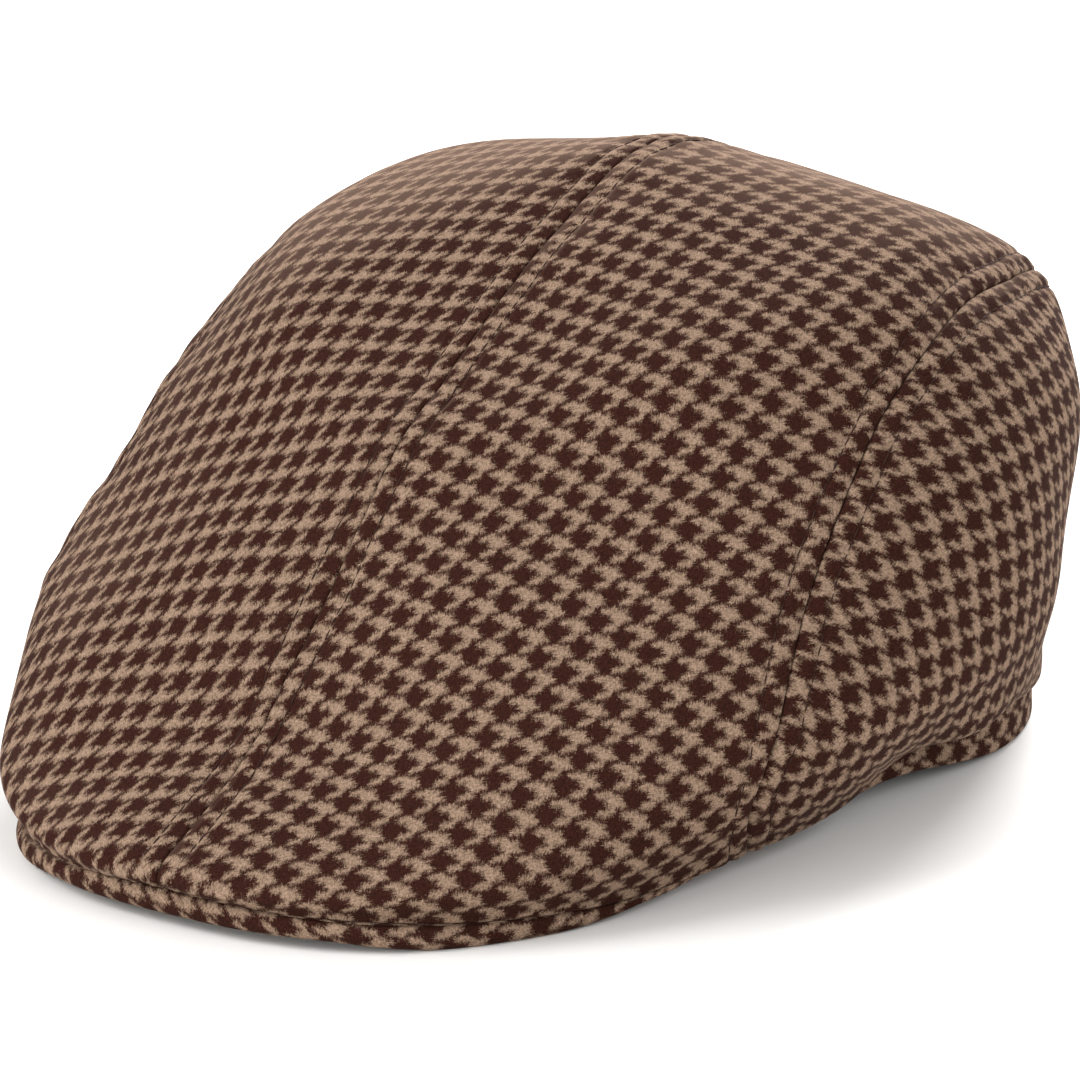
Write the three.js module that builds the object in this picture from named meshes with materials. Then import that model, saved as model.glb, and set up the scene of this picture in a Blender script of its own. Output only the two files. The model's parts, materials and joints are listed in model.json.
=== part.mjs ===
// Flat cap of brushed houndstooth wool, lying on its peak and band as it would on a table.
// Millimetres, +Z up. The peak points to -Y, +X is the wearer's left, and the table is z = 0.
import * as THREE from 'three';

// Cloth and seams
const WALL = 1.6; // crown cloth with the seam allowances pressed behind it
const CLEAR = 0.4; // air between two pieces that are sewn together
const SEAM_SINK = 1.1; // how far a panel's edge is drawn in along a seam
const SEAM_ROLL = 3.4; // distance from the seam at which most of that is level again

// Crown levels, one row for each, from the hem up to the last one below the apex.
// front, back: y of the level's two ends. widest, half: y and half width of its widest place.
// zFront, zSide, zBack: its heights. nFront, nBack: squareness of its plan, 2 for an ellipse.
const CROWN_LEVELS = [
  { name: 'hem', front: -128.5, back: 122.5, widest: 39, half: 91.5,
    zFront: 9.4, zSide: 6.5, zBack: 9, nFront: 2.7, nBack: 2.2 },
  { name: 'overhang', front: -129, back: 123, widest: 23.5, half: 105.5,
    zFront: 14.5, zSide: 24, zBack: 37.5, nFront: 2.32, nBack: 1.85 },
  { name: 'shoulder', front: -98.5, back: 128, widest: 16, half: 112,
    zFront: 33, zSide: 41, zBack: 65, nFront: 2.42, nBack: 1.85 },
  { name: 'brow', front: -52.5, back: 131, widest: 26, half: 106,
    zFront: 77, zSide: 78.5, zBack: 88, nFront: 1.9, nBack: 2.05 },
  { name: 'crest', front: -35.5, back: 120, widest: 39, half: 81.5,
    zFront: 91, zSide: 109, zBack: 95.5, nFront: 1.9, nBack: 2.45 },
  { name: 'top', front: 1.5, back: 80.5, widest: 54, half: 59,
    zFront: 112.5, zSide: 120, zBack: 121.5, nFront: 2.5, nBack: 1.85 },
];
const [HEM] = CROWN_LEVELS;
const APEX = new THREE.Vector3(0, 46, 130);

// Waves of the hem: drawn down towards each end of the peak, and lifted above the ear, where the
// band shows. angle is measured from the front; ahead and behind are how far the wave spreads.
// keep is the share of it that is left at each level above.
const HEM_WAVES = [
  { place: 'end of the peak', angle: 33, ahead: 23, behind: 26, rise: -4.3, keep: 0.3 },
  { place: 'above the ear', angle: 74, ahead: 10.5, behind: 19, rise: 7.8, keep: 0.25 },
];
// The band lifts off the table at the same place.
const BAND_WAVE = { angle: 72, ahead: 15, behind: 20, rise: 6.6 };

// Side seam between a top and a side panel: it starts at the end of the peak, climbs the side,
// and runs level round to the middle of the back. angle is measured from the front, in degrees,
// and rise is 0 at the hem and 1 at the apex.
const SIDE_SEAM = [
  { place: 'end of the peak', angle: 48, rise: 0 },
  { place: 'overhang', angle: 53, rise: 0.18 },
  { place: 'knee', angle: 59.5, rise: 0.367 },
  { place: 'temple', angle: 67, rise: 0.474 },
  { place: 'above the ear', angle: 77, rise: 0.577 },
  { place: 'behind the ear', angle: 98, rise: 0.642 },
  { place: 'shoulder', angle: 117, rise: 0.647 },
  { place: 'nape side', angle: 145, rise: 0.606 },
  { place: 'middle of the back', angle: 180, rise: 0.58 },
];
const SEAM_STEPS = SIDE_SEAM.length - 1;
const KNEE = SIDE_SEAM.findIndex((row) => row.place === 'knee') / SEAM_STEPS;
const SHOULDER = SIDE_SEAM.findIndex((row) => row.place === 'shoulder') / SEAM_STEPS;

// Band: a folded strip round the head opening, flat where it lies on the table. It fits inside
// the hem, and clears the back seam where that is drawn in.
const BAND_OUTLINE = {
  front: -83,
  back: HEM.back - WALL - SEAM_SINK - CLEAR,
  widest: HEM.widest,
  half: HEM.half - WALL - CLEAR,
  nFront: 2.2,
  nBack: 2.2,
};
const BAND_SECTION = [
  { inset: 1.9, z: 0 },
  { inset: 0.5, z: 0 },
  { inset: 0, z: 2 },
  { inset: 0, z: 7.5 },
  { inset: 0.5, z: 10 },
  { inset: 1.3, z: 11 },
  { inset: 2.1, z: 10 },
  { inset: 2.4, z: 7.5 },
  { inset: 2.4, z: 2 },
];

// Peak: a cloth-covered board with a thick rolled edge, under the front of the crown.
const PEAK_END = 57; // degrees from the front to each end
const PEAK_OUTSET = 0.9; // its edge stands this far outside the crown's hem
const PEAK_BELOW_HEM = 0.6; // from the hem down to the top of the roll
const PEAK_BOARD = 3.2; // board and two layers of cloth
const PEAK_ROLL_DEPTH = 2.6; // half the depth of the rolled edge
const PEAK_ROLL_SHARE = 0.28; // the same, as the most of the peak's depth that it takes
const PEAK_ARCH = 0.62; // height of the underside at the band, as a share of the roll
const PEAK_LEAST = { depth: 3.2, height: 1.8 }; // size of its section at the ends
// It touches the table on both sides of the front, and lifts between and behind these two places.
const PEAK_FRONT_LIFT = { height: 2.5, full: 11, gone: 22 };
const PEAK_END_LIFT = { height: 6, none: 29, full: 47 };
// Towards its ends it draws back behind the hem.
const PEAK_TUCK = { inset: 4.2, rise: 2.8, none: 34, full: 50 };

// Section of the peak: round its rolled edge, back over the board and out beneath it.
// roll and deep place a point inward, in roll depths and in depths of the whole peak.
// height, arch and board raise it, in heights of the roll, of the arch and of the board.
const PEAK_SECTION = [
  { at: 'outermost', roll: 0, deep: 0, height: 0.5, arch: 0, board: 0 },
  { at: 'upper roll', roll: 0.25, deep: 0, height: 0.86, arch: 0, board: 0 },
  { at: 'top of the roll', roll: 0.7, deep: 0, height: 1, arch: 0, board: 0 },
  { at: 'behind the roll', roll: 2, deep: 0, height: 0.7, arch: 0.3, board: 0.3 },
  { at: 'top at the band', roll: 0, deep: 1, height: 0, arch: 1, board: 1 },
  { at: 'underside at the band', roll: 0, deep: 1, height: 0, arch: 1, board: 0 },
  { at: 'start of the arch', roll: 2, deep: 0, height: 0, arch: 0.3, board: 0 },
  { at: 'inner foot', roll: 1.4, deep: 0, height: 0, arch: 0, board: 0 },
  { at: 'outer foot', roll: 0.8, deep: 0, height: 0, arch: 0, board: 0 },
  { at: 'lower roll', roll: 0.25, deep: 0, height: 0.16, arch: 0, board: 0 },
];

// Facets
// The steps of two panels along the seam that they share fall on the same points.
const TOP_STEPS = { along: 30, across: 10 };
const SIDE_STEPS = { along: 30, across: 10 };
const EDGE_STEP = 0.4; // share of a step at which an extra grid line follows each edge
const WITHIN = 3; // grid lines from a panel's edge to a place that is well inside the panel
const BAND_STEPS = 72;
const PEAK_STEPS = 32;

const WOOL = { color: 0x6b5143, roughness: 0.95, metalness: 0 };

const radians = THREE.MathUtils.degToRad;

// Distance from an outline's own axis to the outline, in the direction of the angle
function reach(outline, angle, inset = 0) {
  const across = Math.abs(Math.sin(angle));
  const along = Math.abs(Math.cos(angle));
  const forward = Math.cos(angle) > 0;
  const power = forward ? outline.nFront : outline.nBack;
  const length = forward ? outline.widest - outline.front : outline.back - outline.widest;
  const sum = (across / (outline.half - inset)) ** power + (along / (length - inset)) ** power;
  return sum ** (-1 / power);
}

function polar(outline, angle, distance, z) {
  return new THREE.Vector3(distance * Math.sin(angle), outline.widest - distance * Math.cos(angle), z);
}

// Degrees from the front, the same on both sides
function fromFront(angle) {
  return Math.abs(THREE.MathUtils.radToDeg(Math.atan2(Math.sin(angle), Math.cos(angle))));
}

function waveHeight(wave, angle) {
  const off = fromFront(angle) - wave.angle;
  const spread = off < 0 ? wave.ahead : wave.behind;
  return wave.rise * Math.exp(-((off / spread) ** 2));
}

function levelHeight(level, index, angle) {
  const end = Math.cos(angle) > 0 ? level.zFront : level.zBack;
  const plain = level.zSide + (end - level.zSide) * Math.cos(angle) ** 2;
  return HEM_WAVES.reduce((z, wave) => z + wave.keep ** index * waveHeight(wave, angle), plain);
}

function levelPoint(index, angle) {
  const level = CROWN_LEVELS[index];
  return polar(level, angle, reach(level, angle), levelHeight(level, index, angle));
}

// The crown as a map from a unit disc: the rim is the hem, the middle the apex, (0, -1) the front.
function onCrown(disc) {
  const angle = Math.atan2(disc.x, -disc.y);
  const rise = THREE.MathUtils.clamp(1 - disc.length(), 0, 1);
  const count = CROWN_LEVELS.length;
  const meridian = CROWN_LEVELS.map((_, index) => levelPoint(index, angle));
  const beyond = [count - 1, count - 2].map((index) => levelPoint(index, angle + Math.PI));
  const curve = new THREE.CatmullRomCurve3([...meridian, APEX, ...beyond], false, 'catmullrom');
  return curve.getPoint((rise * count) / (count + beyond.length));
}

function discPoint(degrees, rise) {
  const angle = radians(degrees);
  return new THREE.Vector2(Math.sin(angle), -Math.cos(angle)).multiplyScalar(1 - rise);
}

function crownNormal(disc) {
  const step = 0.01;
  const inside = disc.clone();
  if (inside.length() > 1 - step) inside.setLength(1 - step);
  const ahead = (x, y) => onCrown(new THREE.Vector2(inside.x + x, inside.y + y));
  const alongX = ahead(step, 0).sub(ahead(-step, 0));
  const alongY = ahead(0, step).sub(ahead(0, -step));
  return alongX.cross(alongY).normalize();
}

// Coons patch over four sides, each a function from 0..1 to a point of the disc
function patchPoint(sides, along, across) {
  const point = new THREE.Vector2();
  const add = (p, weight) => point.addScaledVector(p, weight);
  add(sides.inner(along), 1 - across);
  add(sides.outer(along), across);
  add(sides.start(across), 1 - along);
  add(sides.end(across), along);
  add(sides.start(0), -(1 - along) * (1 - across));
  add(sides.start(1), -(1 - along) * across);
  add(sides.end(0), -along * (1 - across));
  add(sides.end(1), -along * across);
  return point;
}

// Even grid lines from 0 to 1, with one more beside each end
function gridLines(steps) {
  const even = Array.from({ length: steps + 1 }, (_, i) => i / steps);
  const beside = EDGE_STEP / steps;
  return [0, beside, ...even.slice(1, -1), 1 - beside, 1];
}

function mapGrid(grid, make) {
  return grid.map((line, i) => line.map((_, j) => make(i, j)));
}

// Outer and inner faces of one crown panel. sewn names the sides that end in a seam.
function panelFaces(sides, sewn, steps) {
  const across = gridLines(steps.across);
  const discs = gridLines(steps.along).map((t) => across.map((w) => patchPoint(sides, t, w)));
  const plain = mapGrid(discs, (i, j) => onCrown(discs[i][j]));
  const lastLine = plain.length - 1;
  const lastPoint = across.length - 1;
  const { clamp } = THREE.MathUtils;
  const at = (i, j) => plain[clamp(i, 0, lastLine)][clamp(j, 0, lastPoint)];
  const span = (from, to) => to.clone().sub(from);
  const border = {
    start: (i, j) => ({ foot: at(0, j), tangent: span(at(0, j - 1), at(0, j + 1)) }),
    end: (i, j) => ({ foot: at(lastLine, j), tangent: span(at(lastLine, j - 1), at(lastLine, j + 1)) }),
    inner: (i) => ({ foot: at(i, 0), tangent: span(at(i - 1, 0), at(i + 1, 0)) }),
    outer: (i) => ({ foot: at(i, lastPoint), tangent: span(at(i - 1, lastPoint), at(i + 1, lastPoint)) }),
  };
  const face = (depth) => mapGrid(plain, (i, j) => {
    const point = plain[i][j].clone();
    const normal = crownNormal(discs[i][j]);
    const inward = span(point, at(clamp(i, WITHIN, lastLine - WITHIN), clamp(j, WITHIN, lastPoint - WITHIN)));
    let sink = 0;
    for (const name of sewn) {
      const { foot, tangent } = border[name](i, j);
      const distance = plain[i][j].distanceTo(foot);
      sink = Math.max(sink, SEAM_SINK * Math.exp(-((distance / SEAM_ROLL) ** 2)));
      if (distance === 0) {
        const away = normal.clone().cross(tangent).normalize();
        point.addScaledVector(away, (Math.sign(away.dot(inward)) * CLEAR) / 2);
      }
    }
    return point.addScaledVector(normal, -(sink + depth));
  });
  return { outer: face(0), inner: face(WALL) };
}

// Closed wall between two grids of points that lie one behind the other
function wallGeometry({ outer, inner }) {
  const rows = outer.length;
  const columns = outer[0].length;
  const positions = [...outer.flat(), ...inner.flat()].flatMap((p) => p.toArray());
  const front = (i, j) => i * columns + j;
  const behind = (i, j) => rows * columns + front(i, j);
  const indices = [];
  const quad = (a, b, c, d) => indices.push(a, b, c, a, c, d);
  for (let i = 0; i < rows - 1; i += 1) {
    for (let j = 0; j < columns - 1; j += 1) {
      quad(front(i, j), front(i, j + 1), front(i + 1, j + 1), front(i + 1, j));
      quad(behind(i, j), behind(i + 1, j), behind(i + 1, j + 1), behind(i, j + 1));
    }
    const last = columns - 1;
    quad(front(i, 0), front(i + 1, 0), behind(i + 1, 0), behind(i, 0));
    quad(front(i + 1, last), front(i, last), behind(i, last), behind(i + 1, last));
  }
  for (let j = 0; j < columns - 1; j += 1) {
    const last = rows - 1;
    quad(front(0, j + 1), front(0, j), behind(0, j), behind(0, j + 1));
    quad(front(last, j), front(last, j + 1), behind(last, j + 1), behind(last, j));
  }
  return indexedGeometry(positions, indices);
}

function indexedGeometry(positions, indices) {
  const geometry = new THREE.BufferGeometry();
  geometry.setAttribute('position', new THREE.Float32BufferAttribute(positions, 3));
  geometry.setIndex(indices);
  return geometry;
}

// Solid swept through equal rings of section points; a closed sweep joins its last ring to its first.
function sweptGeometry(rings, closed) {
  const size = rings[0].length;
  const positions = rings.flat().flatMap((p) => p.toArray());
  const indices = [];
  const spans = closed ? rings.length : rings.length - 1;
  for (let i = 0; i < spans; i += 1) {
    const here = i * size;
    const next = ((i + 1) % rings.length) * size;
    for (let j = 0; j < size; j += 1) {
      const k = (j + 1) % size;
      indices.push(here + j, next + j, next + k, here + j, next + k, here + k);
    }
  }
  if (!closed) {
    const last = (rings.length - 1) * size;
    for (let j = 1; j < size - 1; j += 1) {
      indices.push(0, j, j + 1);
      indices.push(last, last + j + 1, last + j);
    }
  }
  return indexedGeometry(positions, indices);
}

function mirroredGeometry(geometry) {
  const copy = geometry.clone().scale(-1, 1, 1);
  const index = copy.getIndex();
  for (let i = 0; i < index.count; i += 3) {
    const second = index.getX(i + 1);
    index.setX(i + 1, index.getX(i + 2));
    index.setX(i + 2, second);
  }
  return copy;
}

const seamCurve = new THREE.SplineCurve(SIDE_SEAM.map((row) => discPoint(row.angle, row.rise)));
const seamAt = (share) => seamCurve.getPoint(share);
const { angle: CORNER_ANGLE } = SIDE_SEAM[0];
const { rise: BACK_RISE } = SIDE_SEAM[SEAM_STEPS];
const between = THREE.MathUtils.lerp;

// Top panel: centre seam, hem over the peak, side seam as far as the shoulder, then the back seam.
function topPanelGeometry() {
  const front = discPoint(0, 0);
  const back = discPoint(180, BACK_RISE);
  const sides = {
    inner: (t) => front.clone().lerp(back, t),
    outer: (t) => seamAt(t * SHOULDER),
    start: (w) => discPoint(w * CORNER_ANGLE, 0),
    end: (w) => seamAt(between(1, SHOULDER, w)),
  };
  return wallGeometry(panelFaces(sides, ['inner', 'outer', 'end'], TOP_STEPS));
}

// Side panel: hem along the band, side seam up to its knee, the rest of that seam, the back seam.
function sidePanelGeometry() {
  const sides = {
    inner: (t) => seamAt(between(KNEE, 1, t)),
    outer: (t) => discPoint(between(CORNER_ANGLE, 180, t), 0),
    start: (w) => seamAt(between(KNEE, 0, w)),
    end: (w) => discPoint(180, between(BACK_RISE, 0, w)),
  };
  return wallGeometry(panelFaces(sides, ['inner', 'start', 'end'], SIDE_STEPS));
}

function bandGeometry() {
  const rings = Array.from({ length: BAND_STEPS }, (_, i) => {
    const angle = (2 * Math.PI * i) / BAND_STEPS;
    const lift = waveHeight(BAND_WAVE, angle);
    return BAND_SECTION.map(({ inset, z }) =>
      polar(BAND_OUTLINE, angle, reach(BAND_OUTLINE, angle, inset), z + lift));
  });
  return sweptGeometry(rings, true);
}

function peakSection(angle) {
  const { smoothstep } = THREE.MathUtils;
  const degrees = fromFront(angle);
  const tuck = smoothstep(degrees, PEAK_TUCK.none, PEAK_TUCK.full);
  const room = reach(HEM, angle) - reach(BAND_OUTLINE, angle) - CLEAR;
  const inset = Math.min(PEAK_TUCK.inset * tuck - PEAK_OUTSET, room - PEAK_LEAST.depth);
  const edge = reach(HEM, angle, inset);
  const depth = edge - reach(BAND_OUTLINE, angle) - CLEAR;
  const top = levelHeight(HEM, 0, angle) - PEAK_BELOW_HEM + PEAK_TUCK.rise * tuck;
  const front = 1 - smoothstep(degrees, PEAK_FRONT_LIFT.full, PEAK_FRONT_LIFT.gone);
  const end = smoothstep(degrees, PEAK_END_LIFT.none, PEAK_END_LIFT.full);
  const lift = PEAK_FRONT_LIFT.height * front + PEAK_END_LIFT.height * end;
  const foot = Math.min(lift, top - PEAK_LEAST.height);
  const height = top - foot;
  const roll = Math.min(PEAK_ROLL_DEPTH, depth * PEAK_ROLL_SHARE);
  const arch = height * PEAK_ARCH;
  const board = Math.min(PEAK_BOARD, height);
  return PEAK_SECTION.map((row) => {
    const inward = row.roll * roll + row.deep * depth;
    const z = foot + row.height * height + row.arch * arch + row.board * board;
    return polar(HEM, angle, edge - inward, z);
  });
}

function peakGeometry() {
  const rings = Array.from({ length: PEAK_STEPS + 1 }, (_, i) =>
    peakSection(radians(between(-PEAK_END, PEAK_END, i / PEAK_STEPS))));
  return sweptGeometry(rings, false);
}

function piece(name, geometry) {
  const mesh = new THREE.Mesh(geometry, new THREE.MeshStandardMaterial(WOOL));
  mesh.name = name;
  return mesh;
}

const topLeft = topPanelGeometry();
const sideLeft = sidePanelGeometry();

const cap = new THREE.Group();
cap.add(piece('crown_top_left', topLeft));
cap.add(piece('crown_top_right', mirroredGeometry(topLeft)));
cap.add(piece('crown_side_left', sideLeft));
cap.add(piece('crown_side_right', mirroredGeometry(sideLeft)));
cap.add(piece('band', bandGeometry()));
cap.add(piece('peak', peakGeometry()));

export default cap;
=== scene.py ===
"""Flat cap of brushed houndstooth wool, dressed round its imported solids.

The tables are in millimetres and the scene is in metres, +Z up. The peak points to -Y and +X is
the wearer's left. Each crown panel is a wall of cloth over the same surface as its solid, laid out
flat once, so that the checks follow the cloth's own threads.
"""

import json
import math
from functools import partial
from typing import NamedTuple

import bmesh
import bpy
import numpy as np
from bpy.props import FloatProperty, FloatVectorProperty, IntProperty, PointerProperty
from mathutils import Matrix, Vector
from mathutils.bvhtree import BVHTree
from mathutils.kdtree import KDTree

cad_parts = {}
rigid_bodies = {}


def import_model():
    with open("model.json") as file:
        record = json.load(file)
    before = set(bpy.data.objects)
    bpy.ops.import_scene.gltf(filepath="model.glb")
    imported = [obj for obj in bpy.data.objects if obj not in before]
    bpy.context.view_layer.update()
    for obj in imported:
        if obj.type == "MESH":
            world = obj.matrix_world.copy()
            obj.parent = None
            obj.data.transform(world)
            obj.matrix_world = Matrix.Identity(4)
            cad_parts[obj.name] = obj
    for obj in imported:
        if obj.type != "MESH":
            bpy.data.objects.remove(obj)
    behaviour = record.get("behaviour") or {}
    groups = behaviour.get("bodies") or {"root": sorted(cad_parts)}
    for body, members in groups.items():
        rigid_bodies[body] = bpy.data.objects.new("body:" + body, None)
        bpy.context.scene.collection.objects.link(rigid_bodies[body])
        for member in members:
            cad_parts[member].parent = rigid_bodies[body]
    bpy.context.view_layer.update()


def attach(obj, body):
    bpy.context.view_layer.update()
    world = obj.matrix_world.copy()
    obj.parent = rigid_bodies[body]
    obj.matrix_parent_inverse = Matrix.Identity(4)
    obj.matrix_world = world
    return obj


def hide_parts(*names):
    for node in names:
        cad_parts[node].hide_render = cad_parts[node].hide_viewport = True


bl_info = {
    "name": "Flat cap",
    "version": (1, 0, 0),
    "blender": (4, 5, 0),
    "location": "View3D > Sidebar > Flat cap",
    "description": "Builds a flat cap of brushed houndstooth wool round its packed solids",
    "category": "Object",
}

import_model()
MM = 0.001
CLOTH_UV = "cloth"  # flat place of the cloth, in millimetres, U across and V along its threads
CLOTH_NAME = "_cloth"  # ending of the name of a piece of cloth over a solid
WELD = 0.02  # points that are closer than this become one


class Outline(NamedTuple):
    """A level of the cap seen from above, and its heights."""

    front: float  # y of its two ends
    back: float
    widest: float  # y and half width of its widest place
    half: float
    n_front: float  # squareness of its plan, 2 for an ellipse
    n_back: float
    z_front: float = 0.0
    z_side: float = 0.0
    z_back: float = 0.0


# Crown levels from the hem up, as in the part: front, back, widest, half, squareness, heights
HEM = Outline(-128.5, 122.5, 39, 91.5, 2.7, 2.2, 9.4, 6.5, 9)
CROWN_LEVELS = (
    HEM,
    Outline(-129, 123, 23.5, 105.5, 2.32, 1.85, 14.5, 24, 37.5),
    Outline(-98.5, 128, 16, 112, 2.42, 1.85, 33, 41, 65),
    Outline(-52.5, 131, 26, 106, 1.9, 2.05, 77, 78.5, 88),
    Outline(-35.5, 120, 39, 81.5, 1.9, 2.45, 91, 109, 95.5),
    Outline(1.5, 80.5, 54, 59, 2.5, 1.85, 112.5, 120, 121.5),
)
APEX = np.array((0, 46, 130))


class Wave(NamedTuple):
    """A rise of the hem or band round an angle from the front, spread ahead of it and behind it."""

    angle: float
    ahead: float
    behind: float
    rise: float
    keep: float = 1.0  # share that is left at each level above


HEM_WAVES = (Wave(33, 23, 26, -4.3, 0.3), Wave(74, 10.5, 19, 7.8, 0.25))
BAND_WAVE = Wave(72, 15, 20, 6.6)

# Side seam from the end of the peak, up the side and round to the middle of the back: degrees from the
# front, and the rise, which is 0 at the hem and 1 at the apex
SIDE_SEAM = (
    (48, 0), (53, 0.18), (59.5, 0.367), (67, 0.474), (77, 0.577),
    (98, 0.642), (117, 0.647), (145, 0.606), (180, 0.58),
)

# Cloth walls
WALL = 1.6
SEAM_GAP = 0.1  # between the two edges of a seam
SEAM_ROLL = 1.0  # radius at which the cloth turns down into a seam
HEM_ROLL = 0.6  # and under the hem
SEAM_DIP = {"depth": 0.35, "reach": 3.2}  # the hollow along a seam
SEAM_PAD = {"height": 0.22, "at": 2.9, "reach": 1.3}  # pressed allowance beside it
STITCH_DIP = {"depth": 0.45, "reach": 0.8}  # where the topstitching draws the cloth in
# Puckers that the topstitching leaves along a seam
PUCKERS = (
    {"wave": 11.0, "height": 0.12, "phase": 0.4},
    {"wave": 17.0, "height": 0.14, "phase": 2.1},
    {"wave": 29.0, "height": 0.16, "phase": 4.0},
)
PUCKER_REACH = 9.0
# Where the slack cloth of a side panel bellies out over the band
BELLY = {"angle": 81, "spread": 9, "height": 3.4, "at": 6.0, "reach": 9.0}
# Hem allowance of a side panel, turned in against the band: its height and where it starts
HEM_TURN = {"height": 4.0, "none": 58, "full": 64}
# Where the hem of a side panel is drawn up to the band's upper edge, and how far up the cloth follows
HEM_LIFT = {"below_edge": 0.2, "reach": 9.0, "none": 70, "full": 82}
# Slow unevenness of soft cloth: wavelengths along x, y and z
GIVE = (
    {"wave": (95, 120, 140), "height": 0.5, "phase": 0.7},
    {"wave": (-70, 88, 60), "height": 0.35, "phase": 2.9},
    {"wave": (52, -64, 75), "height": 0.2, "phase": 5.0},
)

# Distances from a panel's edge at which grid lines run, before the even ones
EDGE_LINES = (
    0.0, 0.12, 0.3, 0.55, 0.85, 1.2, 1.6, 2.1, 2.7,
    3.3, 3.9, 4.4, 4.8, 5.2, 5.6, 6.1, 6.8, 7.8,
)
EVEN_STEP = 1.7
HEM_SPACING = 1.25  # how much closer a side panel's grid lines stand at the front of its hem, 1 for even
LINE_POINTS = 1600  # points along a seam or the hem
PATTERN_GRID = (29, 15)  # points of a panel's flat pattern, along and across
PATTERN_ROUNDS = 400  # until the pattern has settled

# Peak: where it ends, from the front, its place at the hem and its section
PEAK_END = 57
PEAK_OUTSET = 0.9  # how far its edge stands out from the hem
PEAK_BELOW_HEM = 0.35
PEAK_BOARD = 3.2
PEAK_ROLL_DEPTH = 2.6  # depth of the rolled edge, and its share of a narrow peak
PEAK_ROLL_SHARE = 0.28
PEAK_ARCH = 0.62  # rise of the underside towards the band, as a share of the height
PEAK_LEAST = {"depth": 3.2, "height": 1.8}
# How its underside lifts off the floor at the front and at both ends
PEAK_FRONT_LIFT = {"height": 2.5, "full": 11, "gone": 22}
PEAK_END_LIFT = {"height": 6, "none": 29, "full": 47}
# How its ends tuck in behind the hem
PEAK_TUCK = {"inset": 4.2, "rise": 2.8, "none": 34, "full": 50}
CLEAR = 0.4  # between the peak and the band
PEAK_RINGS = 181
PEAK_POINTS = 73  # points round its smooth section


class PeakPoint(NamedTuple):
    """A point of the peak's section; roll and deep place it inward, the others raise it."""

    roll: float = 0
    deep: float = 0
    height: float = 0
    arch: float = 0
    board: float = 0


# From the band out along the underside, round the roll and back over the board
PEAK_SECTION = (
    PeakPoint(deep=1, arch=1),
    PeakPoint(roll=2, arch=0.3),
    PeakPoint(roll=1.4),
    PeakPoint(roll=0.8),
    PeakPoint(roll=0.25, height=0.16),
    PeakPoint(height=0.5),
    PeakPoint(roll=0.25, height=0.86),
    PeakPoint(roll=0.7, height=1),
    PeakPoint(roll=2, height=0.7, arch=0.3, board=0.3),
    PeakPoint(deep=1, arch=1, board=1),
)
PEAK_OUTERMOST = 5  # row of PEAK_SECTION

BAND_OUTLINE = Outline(-83, 119.5, 39, 89.6, 2.2, 2.2)
BAND_HEIGHT = 10.4
BAND_PLY = 1.05  # cloth of the folded band
BAND_FOLD = 0.62  # radius of the fold, at the middle of the cloth
BAND_BIAS = 38  # degrees that its cloth is cut across the threads
BAND_RINGS = 241
BAND_POINTS = {"wall": 8, "fold": 13}

# The photograph's view: camera round a pivot, and the point that it is aimed at
CAMERA = {"azimuth": 37.3, "elevation": 17.25, "roll": -1.95, "distance": 1550, "lens": 231.9}
CAMERA_PIVOT = (0, 15, 55)
CAMERA_AIM = (-3.8, 9.0, 47.1)
FLOOR_SIZE = 6.0  # half its width, in metres
ROOM_LIGHT = 0.62
# Soft boxes: place in metres, size and power
SOFT_BOXES = (
    {"name": "key light", "place": (-1.15, -1.4, 1.5), "size": 1.4, "power": 36},
    {"name": "side light", "place": (1.7, -0.5, 1.1), "size": 1.2, "power": 17},
    {"name": "low light", "place": (-0.5, -1.6, 0.3), "size": 0.8, "power": 13},
    {"name": "back light", "place": (-0.45, 1.7, 1.25), "size": 1.4, "power": 70},
)


def linear(hex_colour):
    """Linear colour of an sRGB hex value."""
    channels = [int(hex_colour[i : i + 2], 16) / 255 for i in (1, 3, 5)]
    return [c / 12.92 if c <= 0.04045 else ((c + 0.055) / 1.055) ** 2.4 for c in channels]


LENGTH = {"precision": 5, "unit": "LENGTH"}
COLOUR = {"subtype": "COLOR", "size": 3, "min": 0, "max": 1}


class ClothSettings(bpy.types.PropertyGroup):
    """The cloth of the cap and its sewing."""

    thread: FloatProperty(
        name="Thread spacing", description="Distance between two threads of the wool cloth",
        default=0.87 * MM, min=0.2 * MM, **LENGTH,
    )
    nap: FloatProperty(
        name="Nap", description="How far the brushed fibres blur the edge of a check",
        default=0.74 * MM, min=0, **LENGTH,
    )
    stitch_offset: FloatProperty(
        name="Topstitch offset", description="Distance of the topstitching from a seam",
        default=5 * MM, min=1 * MM, **LENGTH,
    )
    stitch_length: FloatProperty(
        name="Stitch length", description="Length from one stitch hole to the next",
        default=3.2 * MM, min=1 * MM, **LENGTH,
    )
    stitch_thread: FloatProperty(
        name="Sewing thread", description="Thickness of the sewing thread",
        default=0.36 * MM, min=0.1 * MM, **LENGTH,
    )
    seed: IntProperty(name="Seed", description="Seed of the stitches' small turns", default=7, min=0)


class ColourSettings(bpy.types.PropertyGroup):
    """The colours of the cap and the stage."""

    dark_yarn: FloatVectorProperty(
        name="Dark yarn", description="Colour of the dark wool yarn",
        **COLOUR, default=linear("#2d1711"),
    )
    light_yarn: FloatVectorProperty(
        name="Light yarn", description="Colour of the light wool yarn",
        **COLOUR, default=linear("#866f5e"),
    )
    sewing: FloatVectorProperty(
        name="Sewing thread", description="Colour of the sewing thread",
        **COLOUR, default=linear("#2e1b15"),
    )
    floor: FloatVectorProperty(
        name="Floor", description="Colour of the floor",
        **COLOUR, default=linear("#f4f3f1"),
    )


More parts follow.
